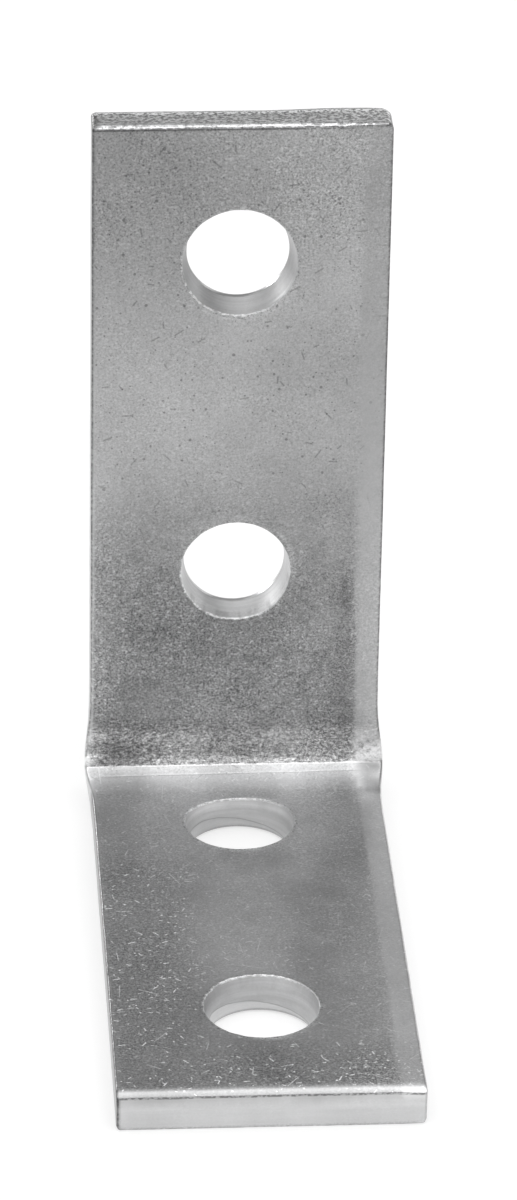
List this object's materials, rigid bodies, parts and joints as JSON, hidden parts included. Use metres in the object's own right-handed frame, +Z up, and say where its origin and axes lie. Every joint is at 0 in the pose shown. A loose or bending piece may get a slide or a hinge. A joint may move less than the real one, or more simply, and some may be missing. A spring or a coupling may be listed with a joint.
{
  "type": "angle bracket",
  "caption": "Right-angle bracket folded from one thick zinc-plated steel bar, with punched bolt holes in each leg, for joining lengths of framing channel.",
  "frame": {"origin": "middle of the part's box in X and Y, on the surface that the foot leg rests on", "axes": "+Z up along the upright leg; +Y out of the upright's outer face, so the foot leg runs towards -Y; X across the bar"},
  "size_m": [0.0424, 0.0908, 0.1056],
  "materials": {
    "zinc_plated_steel": "bright zinc electroplate over hot-rolled steel, satin to bright, finely pitted"
  },
  "bodies": {
    "root": {"angle_bracket": "zinc_plated_steel"}
  },
  "joints": []
}
